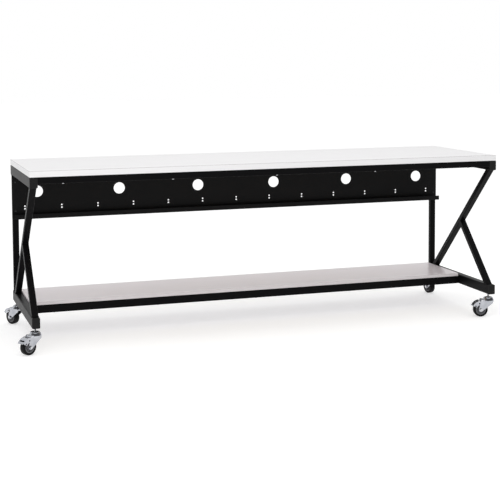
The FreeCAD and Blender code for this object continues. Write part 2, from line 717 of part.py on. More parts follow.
def caster_fork():
    """The pressed fork: a crown with the ball race and dome, and a leg each side."""
    kingpin_hole = STEM_RADIUS + RUNNING_CLEARANCE
    crown = ring(DOME_RADIUS, kingpin_hole, crown_bottom, crown_top)
    race = ring(RACE_OUTER_RADIUS, RACE_INNER_RADIUS, crown_top, race_top)
    rim_inner = RACE_OUTER_RADIUS - RACE_RIM
    rim = ring(RACE_OUTER_RADIUS, rim_inner, race_top, race_top + RACE_RIM_HEIGHT)
    legs = []
    outline = [
        (-LEG_HEEL_SETBACK, crown_bottom - LEG_HEEL_DROP, LEG_HEEL_RADIUS),
        (wheel_centre.x, wheel_centre.z, AXLE_EYE_RADIUS),
        (pedal_pin_centre.x, pedal_pin_centre.z, PEDAL_EAR_RADIUS),
    ]
    inside_radius = DOME_RADIUS - FORK_PLATE / 2
    inside_dome = Part.makeCylinder(inside_radius, dome_top, Z_AXIS * crown_top, Z_AXIS)
    for start_y in (leg_inner_y, -leg_outer_y):
        legs.append(belt_plate(outline, start_y, FORK_PLATE).cut(inside_dome))
    fork = crown.fuse([race, rim, dome_shell()] + legs).removeSplitter()
    fork = fork.cut(cross_cylinder(wheel_centre, AXLE_RADIUS + RUNNING_CLEARANCE, DOME_RADIUS))
    pin_hole = PEDAL_PIN_RADIUS + RUNNING_CLEARANCE
    return fork.cut(cross_cylinder(pedal_pin_centre, pin_hole, DOME_RADIUS))


def caster_balls():
    """The ring of balls that carries the load between the stem's seat and the race."""
    balls = []
    for step in range(BALL_COUNT):
        angle = 2 * math.pi * step / BALL_COUNT
        x = pitch_radius * math.cos(angle)
        y = pitch_radius * math.sin(angle)
        balls.append(Part.makeSphere(BALL_RADIUS, vector(x, y, ball_centre_z)))
    return balls


def caster_axle():
    """The axle bolt and its nut, tight on the outside of the legs."""
    half_length = leg_outer_y
    bolt_start = wheel_centre - Y_AXIS * half_length
    bolt_length = 2 * half_length + AXLE_NUT_HEIGHT
    shank = Part.makeCylinder(AXLE_RADIUS, bolt_length, bolt_start, Y_AXIS)
    head = hexagon(bolt_start, -Y_AXIS, X_AXIS, AXLE_HEAD_FLATS, AXLE_HEAD_HEIGHT)
    nut_start = wheel_centre + Y_AXIS * half_length
    nut = hexagon(nut_start, Y_AXIS, X_AXIS, AXLE_HEAD_FLATS, AXLE_NUT_HEIGHT)
    nut_hole = Part.makeCylinder(AXLE_RADIUS + THREAD_GAP, AXLE_NUT_HEIGHT, nut_start, Y_AXIS)
    return [shank.fuse(head).removeSplitter(), nut.cut(nut_hole)]


def caster_hub():
    """The wheel centre: a rim that carries the tyre, a web and a boss on the axle."""
    boss_half = leg_inner_y - MOVING_GAP
    rim_half = WHEEL_WIDTH / 2 - HUB_RIM_INSET
    web_half = HUB_WEB_THICKNESS / 2
    rim_inner = tyre_inner_radius - HUB_RIM_THICKNESS
    rim = cross_cylinder(wheel_centre, tyre_inner_radius, rim_half)
    rim = rim.cut(cross_cylinder(wheel_centre, rim_inner, rim_half))
    web = cross_cylinder(wheel_centre, rim_inner, web_half)
    boss = cross_cylinder(wheel_centre, HUB_BOSS_RADIUS, boss_half)
    hub = rim.fuse([web, boss]).removeSplitter()
    return hub.cut(cross_cylinder(wheel_centre, AXLE_RADIUS + RUNNING_CLEARANCE, boss_half))


def caster_tyre():
    """The moulded rubber tyre with rounded shoulders."""
    tyre = cross_cylinder(wheel_centre, WHEEL_RADIUS, WHEEL_WIDTH / 2)
    shoulders = edges_at(tyre, lambda middle: abs(middle.y) > SAME_PLACE)
    tyre = tyre.makeFillet(TYRE_SHOULDER, shoulders)
    return tyre.cut(cross_cylinder(wheel_centre, tyre_inner_radius + BOND_GAP, WHEEL_WIDTH))


def strap_stretch(inner_radius, low_y, high_y, start_angle, end_angle):
    """A stretch of the pedal, bent round the wheel between two angles."""
    outer_radius = strap_radius + PEDAL_SHEET
    corners = [
        (inner_radius, low_y),
        (outer_radius, low_y),
        (outer_radius, high_y),
        (inner_radius, high_y),
    ]
    section = polygon_face([wheel_centre + vector(radius, y, 0) for radius, y in corners])
    section.rotate(wheel_centre, -Y_AXIS, start_angle)
    return section.revolve(wheel_centre, -Y_AXIS, end_angle - start_angle)


def caster_pedal():
    """The brake pedal: a strap hinged on the fork, which widens to a hood with cheeks."""
    # The strap ends where it comes up beside the dome.
    end_x = DOME_RADIUS + PEDAL_DOME_GAP - wheel_centre.x
    strap_end = math.degrees(math.acos(end_x / (strap_radius + PEDAL_SHEET)))
    narrow = leg_inner_y - PEDAL_LEG_GAP
    strap = strap_stretch(strap_radius, -narrow, narrow, PEDAL_STRAP_START, strap_end)
    side = leg_outer_y + PEDAL_CHEEK_GAP + PEDAL_SHEET
    hood = [strap_stretch(strap_radius, -side, side, PEDAL_STRAP_START, PEDAL_HOOD_END)]
    for low_y in (-side, side - PEDAL_SHEET):
        hood.append(strap_stretch(
            PEDAL_CHEEK_INNER_RADIUS, low_y, low_y + PEDAL_SHEET, PEDAL_STRAP_START, PEDAL_HOOD_END
        ))
    strap = strap.fuse(hood).removeSplitter()
    for angle, distance in PEDAL_CHEEK_HOLES:
        turn = math.radians(angle)
        hole = wheel_centre + vector(math.cos(turn), 0, math.sin(turn)) * distance
        strap = strap.cut(cross_cylinder(hole, PEDAL_CHEEK_HOLE_RADIUS, side))
    for angle, length in PEDAL_SLOTS:
        slot = rounded_face(wheel_centre, Y_AXIS, Z_AXIS, length, PEDAL_SLOT_WIDTH, PEDAL_SHEET)
        slot = slot.extrude(X_AXIS * (2 * strap_radius))
        slot.rotate(wheel_centre, -Y_AXIS, angle)
        strap = strap.cut(slot)
    foot = rounded_face(
        vector(PEDAL_FOOT_LENGTH / 2, 0, 0),
        X_AXIS,
        Y_AXIS,
        PEDAL_FOOT_LENGTH,
        PEDAL_FOOT_WIDTH,
        PEDAL_FOOT_CORNER,
    ).extrude(Z_AXIS * PEDAL_SHEET)
    foot.rotate(FreeCAD.Vector(), -Y_AXIS, PEDAL_FOOT_TILT)
    start_angle = math.radians(PEDAL_STRAP_START)
    reach = vector(math.cos(start_angle), 0, math.sin(start_angle)) * strap_radius
    foot.translate(wheel_centre + reach)
    barrel = cross_cylinder(pedal_pin_centre, PEDAL_HUB_RADIUS, leg_inner_y - MOVING_GAP)
    pedal = strap.fuse([foot, barrel]).removeSplitter()
    pin_hole = cross_cylinder(pedal_pin_centre, PEDAL_PIN_RADIUS + RUNNING_CLEARANCE, DOME_RADIUS)
    return pedal.cut(pin_hole)


def caster_pedal_pin():
    """The headed pin that the pedal turns on."""
    pin = cross_cylinder(pedal_pin_centre, PEDAL_PIN_RADIUS, leg_outer_y)
    heads = []
    for direction in (Y_AXIS, -Y_AXIS):
        base = pedal_pin_centre + direction * leg_outer_y
        radius = PEDAL_PIN_HEAD_RADIUS
        heads.append(Part.makeCylinder(radius, PEDAL_PIN_HEAD_HEIGHT, base, direction))
    return pin.fuse(heads).removeSplitter()


def caster_nut():
    """The nut inside the rail that the stem screws into."""
    base = Z_AXIS * (caster_height + SIDE_RAIL_WALL)
    nut = hexagon(base, Z_AXIS, X_AXIS, NUT_FLATS, NUT_HEIGHT)
    return nut.cut(Part.makeCylinder(STEM_RADIUS + THREAD_GAP, NUT_HEIGHT, base, Z_AXIS))


def make_casters():
    pieces = {
        "stem": [caster_stem()],
        "balls": caster_balls(),
        "fork": [caster_fork()],
        "axle": caster_axle(),
        "hub": [caster_hub()],
        "tyre": [caster_tyre()],
        "pedal": [caster_pedal()],
        "pedal_pin": [caster_pedal_pin()],
    }
    nuts = []
    for corner, heading in CASTER_HEADINGS.items():
        depth_name, side_name = corner.split("_")
        stem_x = sides[side_name] * rail_centre_x
        stem_y = front + STEM_INSET if depth_name == "front" else rear - STEM_INSET
        turn = FreeCAD.Rotation(Z_AXIS, heading)
        placement = FreeCAD.Placement(vector(stem_x, stem_y, 0), turn)
        for piece, solids in pieces.items():
            moved = []
            for solid in solids:
                copy = solid.copy()
                copy.Placement = placement.multiply(copy.Placement)
                moved.append(copy)
            save(corner + "_caster_" + piece, *moved)
        nut = caster_nut()
        nut.translate(vector(stem_x, stem_y, 0))
        nuts.append(nut)
    save("caster_nuts", *nuts)


os.makedirs("parts", exist_ok=True)
make_worktop()
make_side_frames()
make_long_rails()
make_back_panel()
make_shelf()
make_fasteners()
make_casters()
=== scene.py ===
import json
import math

import bmesh
import bpy
from mathutils import Matrix, Quaternion, Vector
from mathutils.geometry import convex_hull_2d


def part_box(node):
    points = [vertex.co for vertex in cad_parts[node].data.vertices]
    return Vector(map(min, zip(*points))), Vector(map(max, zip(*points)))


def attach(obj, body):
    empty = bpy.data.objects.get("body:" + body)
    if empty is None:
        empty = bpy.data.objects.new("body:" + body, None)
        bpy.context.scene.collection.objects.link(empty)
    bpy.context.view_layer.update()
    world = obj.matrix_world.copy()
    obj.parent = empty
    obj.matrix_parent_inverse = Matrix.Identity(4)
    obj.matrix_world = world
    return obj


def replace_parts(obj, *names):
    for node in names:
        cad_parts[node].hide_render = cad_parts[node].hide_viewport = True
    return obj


# A long assembly table on casters. White laminate top and pale shelf, two welded black
# side frames, bolted rails and a punched back panel with a cable tray.
# Metres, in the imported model's own frame: +X right, +Y back, +Z up, floor at zero.
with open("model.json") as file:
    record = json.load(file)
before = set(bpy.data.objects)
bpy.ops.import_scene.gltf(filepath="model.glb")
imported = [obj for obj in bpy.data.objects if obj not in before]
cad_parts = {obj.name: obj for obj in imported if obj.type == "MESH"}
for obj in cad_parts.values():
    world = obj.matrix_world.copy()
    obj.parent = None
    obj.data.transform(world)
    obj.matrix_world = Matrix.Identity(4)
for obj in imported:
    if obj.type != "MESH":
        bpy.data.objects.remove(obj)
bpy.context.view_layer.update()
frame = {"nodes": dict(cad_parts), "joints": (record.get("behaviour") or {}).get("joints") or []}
nodes = frame["nodes"]


# ---- Side frames and rails ---------------------------------------------------------
# Square-cut steel tube, welded into two K-shaped frames and bolted to the long rails,
# then coated with satin black powder that dries to a fine orange-peel skin.
class Wire:
    """One socket in a finish, which plain arithmetic can use."""

    def __init__(self, socket):
        self.socket = socket
        self.tree = socket.id_data

    def node(self, kind, settings, sockets, output=0):
        """Adds a node: its settings first, then the values or links of its sockets."""
        made = self.tree.nodes.new(kind)
        for name, value in settings.items():
            if name == "stops":
                fill_ramp(made.color_ramp, value)
            else:
                setattr(made, name, value)
        for name, value in sockets.items():
            join(made.inputs[name], value)
        return Wire(made.outputs[output])

    def math(self, operation, first, second):
        """A Math node on two wires or numbers."""
        return self.node("ShaderNodeMath", {"operation": operation}, {0: first, 1: second})

    def __add__(self, other):
        return self.math("ADD", self, other)

    def __sub__(self, other):
        return self.math("SUBTRACT", self, other)

    def __rsub__(self, other):
        return self.math("SUBTRACT", other, self)

    def __mul__(self, other):
        return self.math("MULTIPLY", self, other)

    def __gt__(self, other):
        return self.math("GREATER_THAN", self, other)

    def __lt__(self, other):
        return self.math("LESS_THAN", self, other)

    __radd__ = __add__
    __rmul__ = __mul__


def join(socket, value):
    """Links a wire into a socket, or sets a plain value on it."""
    if isinstance(value, Wire):
        value.tree.links.new(value.socket, socket)
    else:
        socket.default_value = value


def fill_ramp(ramp, stops):
    """Gives a colour ramp its stops, each a place and a colour."""
    while len(ramp.elements) < len(stops):
        ramp.elements.new(1.0)
    for element, (place, colour) in zip(ramp.elements, stops):
        element.position = place
        element.color = colour


def start_finish(name):
    """A new material, its surface shader and a wire with the place on the object."""
    material = bpy.data.materials.new(name)
    material.use_nodes = True
    shader = material.node_tree.nodes["Principled BSDF"]
    coordinates = material.node_tree.nodes.new("ShaderNodeTexCoord")
    return material, shader, Wire(coordinates.outputs["Object"])


def set_surface(shader, values):
    """Sets or links sockets of the surface shader by name."""
    for name, value in values.items():
        join(shader.inputs[name], value)


def noise(place, scale, detail=2.0):
    """Cloudy noise from 0 to 1, with scale waves in a metre."""
    sockets = {"Vector": place, "Scale": scale, "Detail": detail}
    return place.node("ShaderNodeTexNoise", {"noise_dimensions": "3D"}, sockets)


# The Mix node's colour sockets share their names with others, so they go by number.
FIRST_COLOUR = 6
SECOND_COLOUR = 7
MIXED_COLOUR = 2


def blend_colours(share, first, second):
    """A colour that goes from first to second as share goes from 0 to 1."""
    return share.node(
        "ShaderNodeMix",
        {"data_type": "RGBA"},
        {"Factor": share, FIRST_COLOUR: first, SECOND_COLOUR: second},
        output=MIXED_COLOUR,
    )


def raised(height, depth):
    """Normals for a height map, with its full height in metres."""
    return height.node("ShaderNodeBump", {}, {"Height": height, "Distance": depth})


def give(material, *names):
    """Puts a finish on CAD nodes."""
    for name in names:
        for slot in nodes[name].material_slots:
            slot.material = material


# Waves in a metre of the coat's cloudiness and of the bumps in its orange-peel skin.
COAT_CLOUDS = 9.0
PEEL_BUMPS = 620.0
FINE_PEEL_BUMPS = 1900.0
FINE_PEEL_SHARE = 0.4
COAT_ROUGHNESS_SPREAD = 0.08


def powder_coat(name, black, lighter, roughness, sheen, peel_depth):
    """Baked powder: near-black, satin, with an orange-peel skin and faint cloudiness."""
    material, shader, place = start_finish(name)
    cloud = noise(place, COAT_CLOUDS)
    fine_peel = noise(place, FINE_PEEL_BUMPS, detail=0.0)
    peel = noise(place, PEEL_BUMPS, detail=1.0) + FINE_PEEL_SHARE * fine_peel
    set_surface(shader, {
        "Base Color": blend_colours(cloud, black, lighter),
        "Roughness": roughness + COAT_ROUGHNESS_SPREAD * cloud,
        "Specular IOR Level": sheen,
        "Normal": raised(peel, peel_depth),
    })
    return material


frame_coat = powder_coat(
    "frame_powder_coat",
    black=(0.0024, 0.0024, 0.0028, 1),
    lighter=(0.0050, 0.0048, 0.0052, 1),
    roughness=0.36,
    sheen=0.06,
    peel_depth=0.00006,
)
side_tubes = ("top_rail", "bottom_rail", "rear_post", "long_brace", "short_brace")
for side in ("left", "right"):
    give(frame_coat, *[side + "_" + tube for tube in side_tubes])
give(frame_coat, "front_top_rail", "rear_top_rail", "shelf_front_rail", "shelf_rear_rail")


# ---- Welds -------------------------------------------------------------------------
# A bead of weld runs round each end of the post and of the two braces in a side frame.
# It was laid in short overlapping pools before coating, so it shows as fine ripples.
BEAD_RADIUS = 0.0023
BEAD_RIPPLE = 0.1
RIPPLE_PITCH = 0.0022
POINTS_IN_RIPPLE = 5
BEAD_SIDES = 10
FLUSH_BEAD_SINK = 0.0014
SAME_PLANE = 0.0001
SAME_POINT = 0.000001
SHARP_ANGLE = math.radians(25)
RIGHT = Vector((1, 0, 0))
UP = Vector((0, 0, 1))


def end_outline(node, outward, sink):
    """The closed outline of a tube's end that faces outward, with its sides sunk in."""
    corners = [vertex.co for vertex in nodes[node].data.vertices]
    reach = max(corner.dot(outward) for corner in corners)
    end = [corner for corner in corners if reach - corner.dot(outward) < SAME_PLANE]
    along = outward.cross(RIGHT)
    flat = [(corner.dot(RIGHT), corner.dot(along)) for corner in end]
    middle = (min(x for x, y in flat) + max(x for x, y in flat)) / 2
    half_width = max(x for x, y in flat) - middle
    narrowed = 1 - sink / half_width
    outline = []
    for index in convex_hull_2d(flat):
        x, y = flat[index]
        outline.append(RIGHT * (middle + (x - middle) * narrowed) + along * y + outward * reach)
    return outline


def evenly_spaced(outline, count):
    """Points at equal steps round a closed outline."""
    sides = list(zip(outline, outline[1:] + outline[:1]))
    lengths = [(end - start).length for start, end in sides]
    step = sum(lengths) / count
    points = []
    passed = 0.0
    for (start, end), length in zip(sides, lengths):
        while len(points) < count and len(points) * step <= passed + length:
            share = (len(points) * step - passed) / length if length > 0 else 0.0
            points.append(start.lerp(end, share))
        passed += length
    return points


def weld_bead(outline, outward):
    """Points and faces of a rippled bead round a closed outline."""
    total = sum((b - a).length for a, b in zip(outline, outline[1:] + outline[:1]))
    path = evenly_spaced(outline, POINTS_IN_RIPPLE * round(total / RIPPLE_PITCH))
    count = len(path)
    points = []
    faces = []
    for index, centre in enumerate(path):
        ahead = path[(index + 1) % count] - path[index - 1]
        aside = ahead.cross(outward).normalized()
        pool = abs(math.sin(math.pi * index / POINTS_IN_RIPPLE))
        radius = BEAD_RADIUS * (1 - BEAD_RIPPLE + BEAD_RIPPLE * pool)
        for step in range(BEAD_SIDES):
            angle = 2 * math.pi * step / BEAD_SIDES
            rim = aside * math.cos(angle) + outward * math.sin(angle)
            points.append(centre + rim * radius)
            here = index * BEAD_SIDES + step
            here_next = index * BEAD_SIDES + (step + 1) % BEAD_SIDES
            there = (index + 1) % count * BEAD_SIDES + step
            there_next = (index + 1) % count * BEAD_SIDES + (step + 1) % BEAD_SIDES
            faces.append((here, there, there_next, here_next))
    return points, faces


def meshed(points, faces):
    """A mesh of points and faces, in which points at the same place become one."""
    mesh = bpy.data.meshes.new("piece")
    mesh.from_pydata(points, [], faces)
    shape = bmesh.new()
    shape.from_mesh(mesh)
    bmesh.ops.remove_doubles(shape, verts=shape.verts, dist=SAME_POINT)
    shape.to_mesh(mesh)
    shape.free()
    return mesh


def new_piece(name, mesh, material, body):
    """A piece in its own object, which rides on a body and shades smooth between edges."""
    mesh.name = name
    mesh.shade_smooth()
    mesh.set_sharp_from_angle(angle=SHARP_ANGLE)
    mesh.materials.append(material)
    piece = bpy.data.objects.new(name, mesh)
    bpy.context.scene.collection.objects.link(piece)
    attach(piece, body)
    return piece


def middle_of_end(node, outward):
    """The mean of the corners of a tube's end."""
    outline = end_outline(node, outward, 0.0)
    return sum(outline, Vector()) / len(outline)


for side in ("left", "right"):
    long_brace = side + "_long_brace"
    rise = middle_of_end(long_brace, UP) - middle_of_end(long_brace, -UP)
    toward_long_brace = rise.cross(RIGHT).normalized()
    ends = {
        "post_foot_weld": ("_rear_post", -UP, 0.0),
        "post_head_weld": ("_rear_post", UP, 0.0),
        "long_brace_foot_weld": ("_long_brace", -UP, 0.0),
        "long_brace_head_weld": ("_long_brace", UP, 0.0),
        "short_brace_foot_weld": ("_short_brace", -UP, 0.0),
        "short_brace_head_weld": ("_short_brace", toward_long_brace, FLUSH_BEAD_SINK),
    }
    for weld, (tube, outward, sink) in ends.items():
        bead = weld_bead(end_outline(side + tube, outward, sink), outward)
        new_piece(side + "_" + weld, meshed(*bead), frame_coat, "table")


# ---- Rail end caps -----------------------------------------------------------------
# Moulded black plastic caps, pressed into the open ends of the side frames' top and
# bottom rails. Their moulded skin is satin with a fine grain.
cap_plastic, shader, place = start_finish("cap_plastic")
set_surface(shader, {
    "Base Color": (0.008, 0.008, 0.008, 1),
    "Roughness": 0.44 + 0.1 * noise(place, scale=40.0),
    "Specular IOR Level": 0.2,
    "Normal": raised(noise(place, scale=2600.0, detail=1.0), depth=0.00004),
})
give(cap_plastic, "rail_end_caps")


# ---- Back panel --------------------------------------------------------------------
# One black sheet, punched for cables and bent into a tray at its foot. It is coated
# with the same powder as the tubes, a little flatter in sheen.
panel_coat = powder_coat(
    "panel_powder_coat",
    black=(0.0036, 0.0036, 0.0041, 1),
    lighter=(0.0066, 0.0066, 0.0070, 1),
    roughness=0.42,
    sheen=0.12,
    peel_depth=0.00005,
)
give(panel_coat, "back_panel")


# ---- Corner brackets ---------------------------------------------------------------
# Short lengths of rolled steel angle that bolt the long rails to the side frames. Their
# cut edges were broken by tumbling before the powder coat went on.
FLAT_WITHIN = math.radians(0.5)
EDGE_ANGLE = math.radians(40)
BRACKET_EDGE = 0.0005


def softened(node, edge_radius):
    """The mesh of a CAD node with its sharp edges rounded a little."""
    shape = bmesh.new()
    shape.from_mesh(nodes[node].data)
    bmesh.ops.remove_doubles(shape, verts=shape.verts, dist=SAME_POINT)
    bmesh.ops.dissolve_limit(
        shape, angle_limit=FLAT_WITHIN, verts=shape.verts, edges=shape.edges
    )
    sharp = [edge for edge in shape.edges if edge.calc_face_angle(0.0) > EDGE_ANGLE]
    bmesh.ops.bevel(
        shape, geom=sharp, offset=edge_radius, offset_type="OFFSET", segments=2, profile=0.5,
        affect="EDGES", clamp_overlap=True,
    )
    mesh = bpy.data.meshes.new(node)
    shape.to_mesh(mesh)
    shape.free()
    return mesh


for node, name in (("top_rail_brackets", "top_angles"), ("shelf_rail_brackets", "shelf_angles")):
    angles = softened(node, BRACKET_EDGE)
    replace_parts(new_piece(name, angles, frame_coat, "table"), node)


# ---- Bolts and screws --------------------------------------------------------------
# Steel fasteners with rolled threads. Flange bolts hold the brackets and screws hold the
# panel, in black zinc. The screws in the top and shelf and the stem nuts are bright zinc.
PLATING_CLOUDS = 180.0
PLATING_ROUGHNESS_SPREAD = 0.14
DRAWING_MARKS = 3200.0
DRAWING_MARK_DEPTH = 0.00002


def plated(name, bright, dull, roughness, metal=1.0):
    """Plating on a turned part: cloudy in colour and sheen, with fine drawing marks."""
    material, shader, place = start_finish(name)
    cloud = noise(place, PLATING_CLOUDS)
    set_surface(shader, {
        "Base Color": blend_colours(cloud, bright, dull),
        "Metallic": metal,
        "Roughness": roughness + PLATING_ROUGHNESS_SPREAD * cloud,
        "Normal": raised(noise(place, DRAWING_MARKS, detail=1.0), DRAWING_MARK_DEPTH),
    })
    return material


black_zinc = plated(
    "black_fasteners",
    bright=(0.022, 0.022, 0.024, 1),
    dull=(0.04, 0.04, 0.042, 1),
    roughness=0.3,
    metal=0.6,
)
bright_zinc = plated(
    "zinc_fasteners",
    bright=(0.66, 0.67, 0.69, 1),
    dull=(0.52, 0.53, 0.56, 1),
    roughness=0.2,
)
give(bright_zinc, "caster_nuts")

THREAD_PITCH = 0.001
THREAD_DEPTH = 0.00035
RINGS_IN_PITCH = 4
HEX_TURN = math.radians(60)
FASTENER_SIDES = 24


def solids_of(node):
    """The corners of each separate solid in a CAD node, in the same order each time."""
    shape = bmesh.new()
    shape.from_mesh(nodes[node].data)
    bmesh.ops.remove_doubles(shape, verts=shape.verts, dist=SAME_POINT)
    found = set()
    solids = []
    for first in shape.verts:
        if first in found:
            continue
        found.add(first)
        front_line = [first]
        solid = []
        while front_line:
            vertex = front_line.pop()
            solid.append(vertex.co.copy())
            for edge in vertex.link_edges:
                neighbour = edge.other_vert(vertex)
                if neighbour not in found:
                    found.add(neighbour)
                    front_line.append(neighbour)
        solids.append(solid)
    shape.free()
    return solids


def fastener_places(node, head_height):
    """Where a node's fasteners sit, each with Z out of its head and zero under the head.

    Also gives the length of their shanks, which is the same for all of them.
    """
    places = []
    for solid in solids_of(node):
        low = Vector([min(corner[index] for corner in solid) for index in range(3)])
        high = Vector([max(corner[index] for corner in solid) for index in range(3)])
        size = high - low
        longest = max(range(3), key=lambda index: size[index])
        axis = Vector([float(index == longest) for index in range(3)])
        middle = (low + high) / 2
        widest = max(solid, key=lambda corner: (corner - middle).cross(axis).length)
        out = axis if (widest - middle).dot(axis) > 0 else -axis
        seat = middle + out * (size[longest] / 2 - head_height)
        turn = UP.rotation_difference(out).to_matrix().to_4x4()
        places.append(Matrix.Translation(seat) @ turn)
    return places, size[longest] - head_height


def six_sided(flats):
    """The reach of a hexagon in each direction, from its width across flats."""
    def reach(angle):
        from_middle = (angle + HEX_TURN / 2) % HEX_TURN - HEX_TURN / 2
        return flats / 2 / math.cos(from_middle)
    return reach


def within(reach, limit):
    """A reach that goes no further than a limit, as on a chamfered hexagon."""
    return lambda angle: min(reach(angle), limit)


def thread_rings(bottom, top, radius, pitch, depth):
    """Rings of a helical thread."""
    def groove(height):
        def reach(angle):
            turns = (height - bottom) / pitch - angle / (2 * math.pi)
            return radius - depth * abs(2 * (turns % 1.0) - 1)
        return reach
    count = round((top - bottom) / pitch * RINGS_IN_PITCH)
    heights = [bottom + (top - bottom) * step / count for step in range(count + 1)]
    return [(height, groove(height)) for height in heights]


def turned(rings, sides):
    """Points and faces of a closed shape from rings, each a height and a reach."""
    points = []
    for height, reach in rings:
        for step in range(sides):
            angle = 2 * math.pi * step / sides
            radius = reach(angle) if callable(reach) else reach
            points.append(Vector((radius * math.cos(angle), radius * math.sin(angle), height)))
    faces = [tuple(reversed(range(sides))), tuple(range(len(points) - sides, len(points)))]
    for ring in range(len(rings) - 1):
        for step in range(sides):
            here = ring * sides + step
            beside = ring * sides + (step + 1) % sides
            faces.append((here, beside, beside + sides, here + sides))
    return points, faces


def repeated(shape, places):
    """The shape's points and faces, copied to each place."""
    points, faces = shape
    count = len(points)
    all_points = [place @ point for place in places for point in points]
    all_faces = [
        [corner + copy * count for corner in face] for copy in range(len(places)) for face in faces
    ]
    return all_points, all_faces


def fit_fasteners(node, name, head_rings, head_height, thread_radius, material):
    """Threaded fasteners in place of a node's plain ones."""
    places, length = fastener_places(node, head_height)
    shank = thread_rings(-length, 0.0, thread_radius, THREAD_PITCH, THREAD_DEPTH)
    shape = repeated(turned(shank + head_rings, FASTENER_SIDES), places)
    slot = "zinc_fasteners" if material == bright_zinc else "black_fasteners"
    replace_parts(new_piece(name, meshed(*shape), material, "table"), node)


FLANGE_RADIUS = 0.0065
FLANGE_RIM = 0.00072
FLANGE_HEIGHT = 0.0012
FLANGE_TOP_RADIUS = 0.006045
HEX_FLATS = 0.010
HEX_HEIGHT = 0.004368
CHAMFER_HEIGHT = 0.004888
CHAMFER_RADIUS = 0.0054
BOLT_HEAD_HEIGHT = 0.0052
CROWN_RADIUS = 0.0047
DISH_RADIUS = 0.0038
DISH_FLOOR_HEIGHT = 0.004836
DISH_FLOOR_RADIUS = 0.0033
BOLT_THREAD_RADIUS = 0.003
hexagon = six_sided(HEX_FLATS)
flange_head = [
    (0.0, FLANGE_RADIUS),
    (FLANGE_RIM, FLANGE_RADIUS),
    (FLANGE_HEIGHT, FLANGE_TOP_RADIUS),
    (FLANGE_HEIGHT, hexagon),
    (HEX_HEIGHT, hexagon),
    (CHAMFER_HEIGHT, within(hexagon, CHAMFER_RADIUS)),
    (BOLT_HEAD_HEIGHT, CROWN_RADIUS),
    (BOLT_HEAD_HEIGHT, DISH_RADIUS),
    (DISH_FLOOR_HEIGHT, DISH_FLOOR_RADIUS),
]
fit_fasteners(
    "bracket_bolts", "flange_bolts", flange_head, BOLT_HEAD_HEIGHT, BOLT_THREAD_RADIUS, black_zinc
)

PAN_RADIUS = 0.005
PAN_HEIGHT = 0.003
PAN_ROUND = 0.0014
SOCKET_FLATS = 0.0032
SOCKET_DEPTH = 0.0018
SCREW_THREAD_RADIUS = 0.0024
ROUND_STEPS = 5
socket = six_sided(SOCKET_FLATS)
pan_head = [(0.0, PAN_RADIUS)]
for step in range(ROUND_STEPS + 1):
    lean = math.pi / 2 * step / ROUND_STEPS
    pan_head.append((
        PAN_HEIGHT - PAN_ROUND * (1 - math.sin(lean)), PAN_RADIUS - PAN_ROUND * (1 - math.cos(lean))
    ))
pan_head += [(PAN_HEIGHT, socket), (PAN_HEIGHT - SOCKET_DEPTH, socket)]
for node, name, material in (
    ("panel_screws", "panel_pan_screws", black_zinc),
    ("worktop_screws", "worktop_pan_screws", bright_zinc),
    ("shelf_screws", "shelf_pan_screws", bright_zinc),
):
    fit_fasteners(node, name, pan_head, PAN_HEIGHT, SCREW_THREAD_RADIUS, material)


# ---- Worktop -----------------------------------------------------------------------
# A particle board core under a white laminate sheet, with white bands glued round its
# edge. A fine dark line, as deep as the sheet, is coloured along the top of the bands.
CHIPS = 260.0
board_core, shader, place = start_finish("worktop_core")
chips = place.node(
    "ShaderNodeTexVoronoi", {"feature": "F1"}, {"Vector": place, "Scale": CHIPS}, output=1
)
chip_tone = chips.node("ShaderNodeRGBToBW", {}, {"Color": chips})
wood = chip_tone.node("ShaderNodeValToRGB", {"stops": [
    (0.1, (0.33, 0.22, 0.12, 1)),
    (0.45, (0.52, 0.38, 0.24, 1)),
    (0.8, (0.66, 0.52, 0.36, 1)),
]}, {"Fac": chip_tone})
set_surface(shader, {
    "Base Color": wood,
    "Roughness": 0.7 + 0.15 * chip_tone,
    "Normal": raised(chip_tone, depth=0.0002),
})
give(board_core, "worktop_core")

white_laminate, shader, place = start_finish("worktop_laminate")
set_surface(shader, {
    "Base Color": blend_colours(
        noise(place, scale=14.0), (0.88, 0.87, 0.88, 1), (0.85, 0.845, 0.85, 1)
    ),
    "Roughness": 0.34 + 0.08 * noise(place, scale=30.0),
    "Specular IOR Level": 0.35,
    "Normal": raised(noise(place, scale=2400.0, detail=1.0), depth=0.00003),
})
give(white_laminate, "worktop_laminate")

SHEET_THICKNESS = 0.001
TOP_FACE_SKIN = 0.00002
worktop_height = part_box("worktop_laminate")[1].z
edge_white, shader, place = start_finish("worktop_edge")
height = place.node("ShaderNodeSeparateXYZ", {}, {"Vector": place}, output=2)
above_core = height > worktop_height - SHEET_THICKNESS
below_face = height < worktop_height - TOP_FACE_SKIN
set_surface(shader, {
    "Base Color": blend_colours(
        above_core * below_face, (0.89, 0.885, 0.89, 1), (0.34, 0.32, 0.31, 1)
    ),
    "Roughness": 0.32 + 0.08 * noise(place, scale=30.0),
    "Specular IOR Level": 0.35,
    "Normal": raised(noise(place, scale=2200.0, detail=1.0), depth=0.00003),
})
give(edge_white, "worktop_edge_band")
